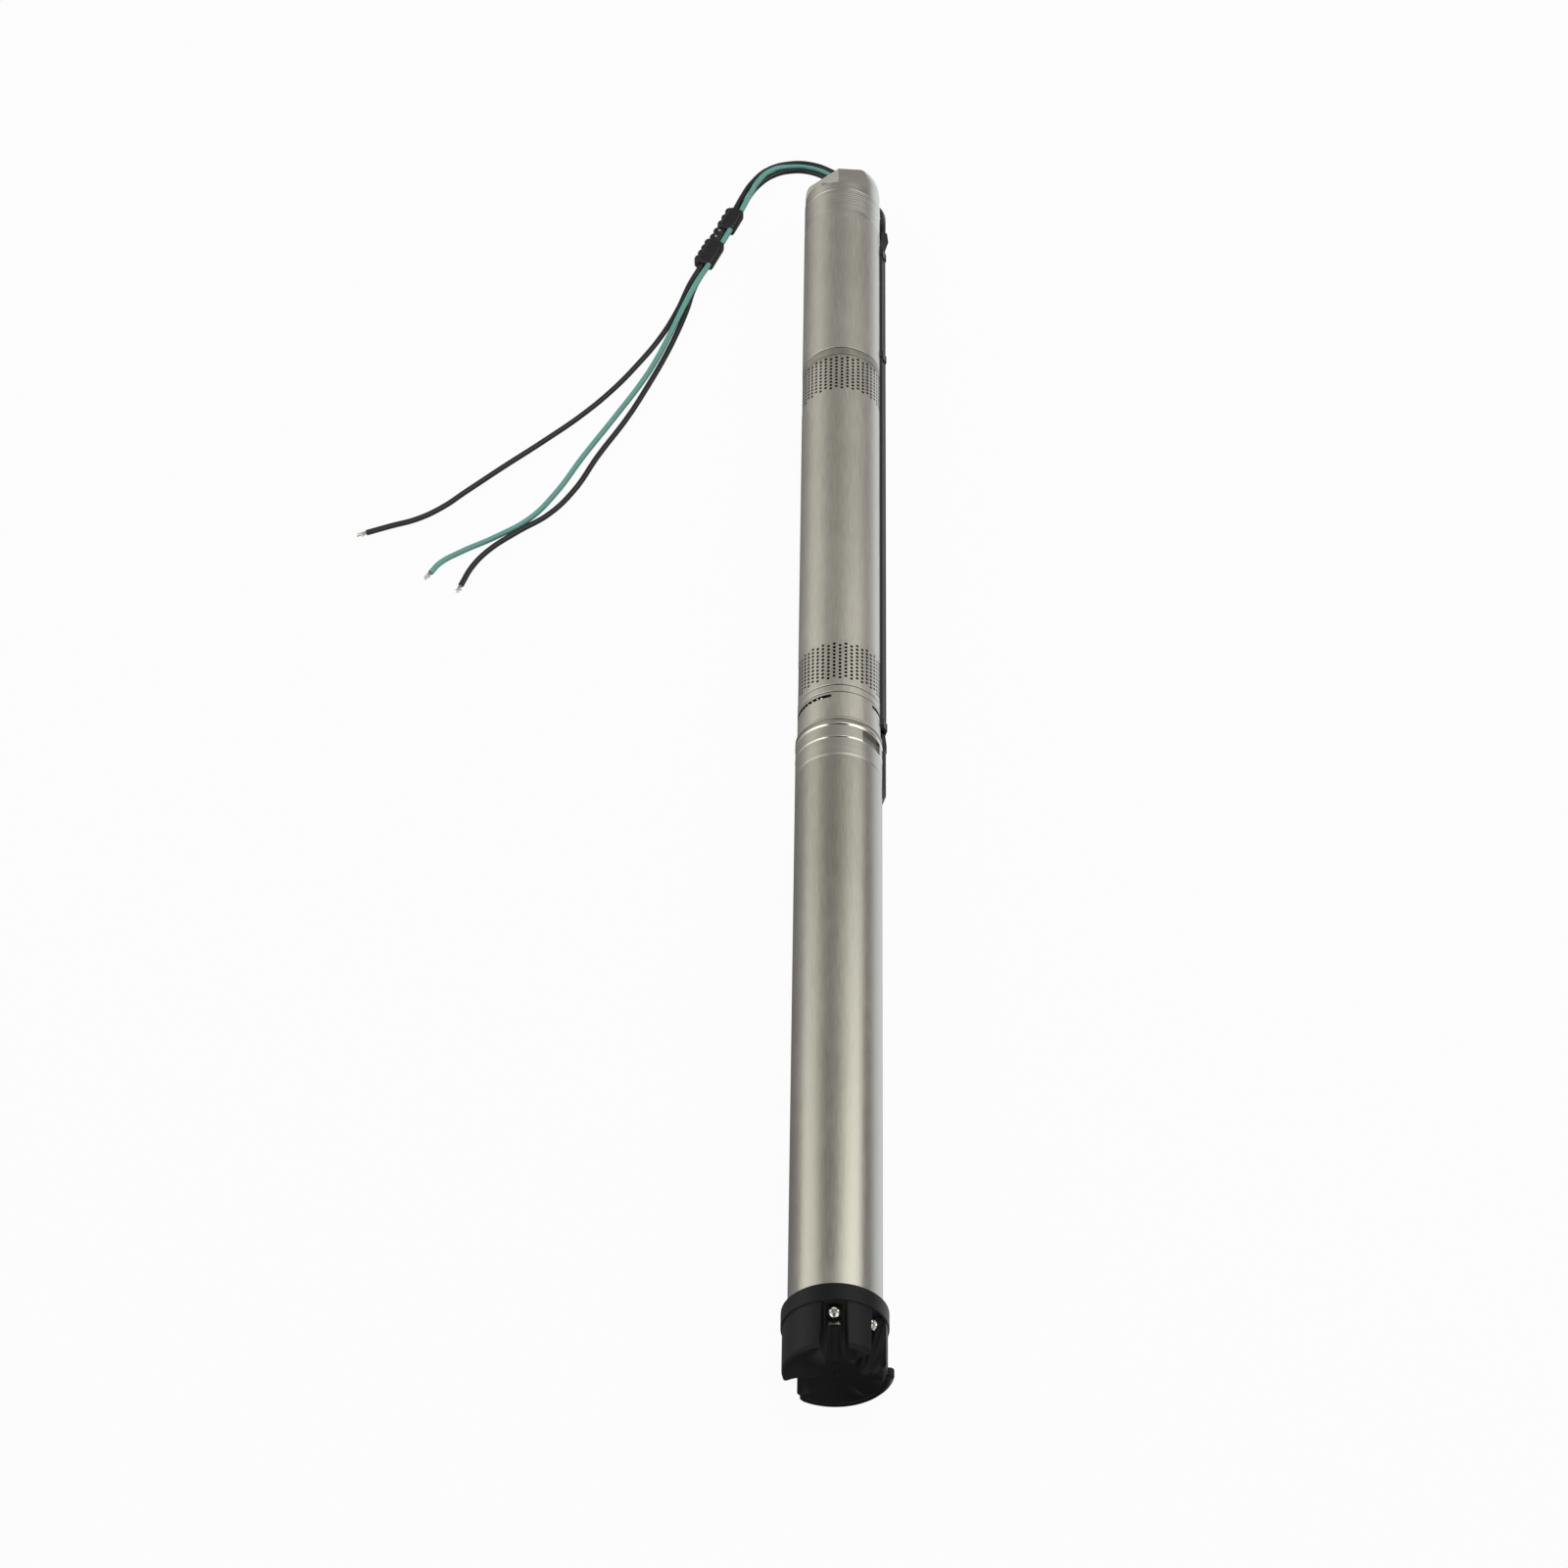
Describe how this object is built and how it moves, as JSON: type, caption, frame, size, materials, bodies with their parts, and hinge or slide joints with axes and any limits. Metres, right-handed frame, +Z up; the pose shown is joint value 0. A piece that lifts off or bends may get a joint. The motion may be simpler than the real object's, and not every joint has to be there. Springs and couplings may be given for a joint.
{
  "type": "solar submersible pump",
  "caption": "Slim borehole pump with a brushless motor, a perforated pump sleeve over a helical rotor, a threaded outlet head and motor leads with a cable clip.",
  "frame": {"origin": "floor under the middle of the pump as it lies on its side", "axes": "+Y along the pump from the motor end to the outlet, +Z up, +X to the side of the cable guard"},
  "size_m": [0.4288, 1.2783, 0.077],
  "materials": {
    "cap_plastic": "satin moulded",
    "screw_steel": "bright turned",
    "cast_steel": "machined",
    "rubber": "matte",
    "tube_steel": "brushed tube",
    "board": "coated",
    "carbon": "pressed",
    "core_steel": "laminated",
    "copper": "bare",
    "head_steel": "turned",
    "rotor_chrome": "polished",
    "valve_plastic": "moulded",
    "guard_plastic": "extruded",
    "cable_black": "satin",
    "clip_plastic": "ribbed",
    "lead_black": "satin insulation",
    "lead_green": "satin insulation"
  },
  "bodies": {
    "pump": {"end_cap": "cap_plastic", "filler_plug": "cap_plastic", "cap_screws": "screw_steel", "motor_end_plate": "cast_steel", "diaphragm": "rubber", "motor_tube": "tube_steel", "electronics_can": "cast_steel", "control_board": "board", "thrust_ring": "carbon", "lower_housing": "cast_steel", "lower_bearing": "carbon", "stator_core": "core_steel", "end_windings": "copper", "upper_bearing": "carbon", "motor_head": "head_steel", "shaft_seal": "rubber", "stator_liner": "rubber", "stator_tube": "tube_steel", "support_ring": "cast_steel", "pump_sleeve": "tube_steel", "discharge_head": "head_steel", "head_o_ring": "rubber", "valve_seat": "rubber", "valve_spring": "screw_steel", "valve_guide": "cast_steel", "cable_guard": "guard_plastic", "guard_clips": "guard_plastic", "flat_cable": "cable_black", "motor_plug": "cable_black", "cable_boot": "cable_black", "cable_clip": "clip_plastic", "lead_black_a": "lead_black", "lead_green": "lead_green", "lead_black_b": "lead_black", "lead_ends": "copper"},
    "drive": {"motor_shaft": "screw_steel", "rotor_magnets": "core_steel", "thrust_disc": "screw_steel", "sand_shield": "rubber", "shaft_coupling": "cast_steel"},
    "whirl": {"torsion_rod": "screw_steel"},
    "helix": {"helical_rotor": "rotor_chrome"},
    "valve": {"valve_cup": "valve_plastic"}
  },
  "joints": [
    {"name": "drive_spin", "type": "hinge", "parent": "pump", "child": "drive", "pos_m": [-0.00167, 0, 0.0395], "axis": [0, 1, 0], "continuous": true},
    {"name": "rod_whirl", "type": "hinge", "parent": "pump", "child": "whirl", "pos_m": [-0.00167, 0, 0.0395], "axis": [0, 1, 0], "continuous": true},
    {"name": "rotor_spin", "type": "hinge", "parent": "whirl", "child": "helix", "pos_m": [-0.00167, 0, 0.0425], "axis": [0, 1, 0], "continuous": true},
    {"name": "valve_lift", "type": "slide", "parent": "pump", "child": "valve", "axis": [0, 1, 0], "range_m": [0, 0.006], "stiffness_N_per_m": 60, "springref_m": -0.004, "deforming": ["valve_spring"]}
  ],
  "couplings": [
    {"joint": "rod_whirl", "follows": "drive_spin", "ratio": -1},
    {"joint": "rotor_spin", "follows": "drive_spin", "ratio": 2}
  ]
}
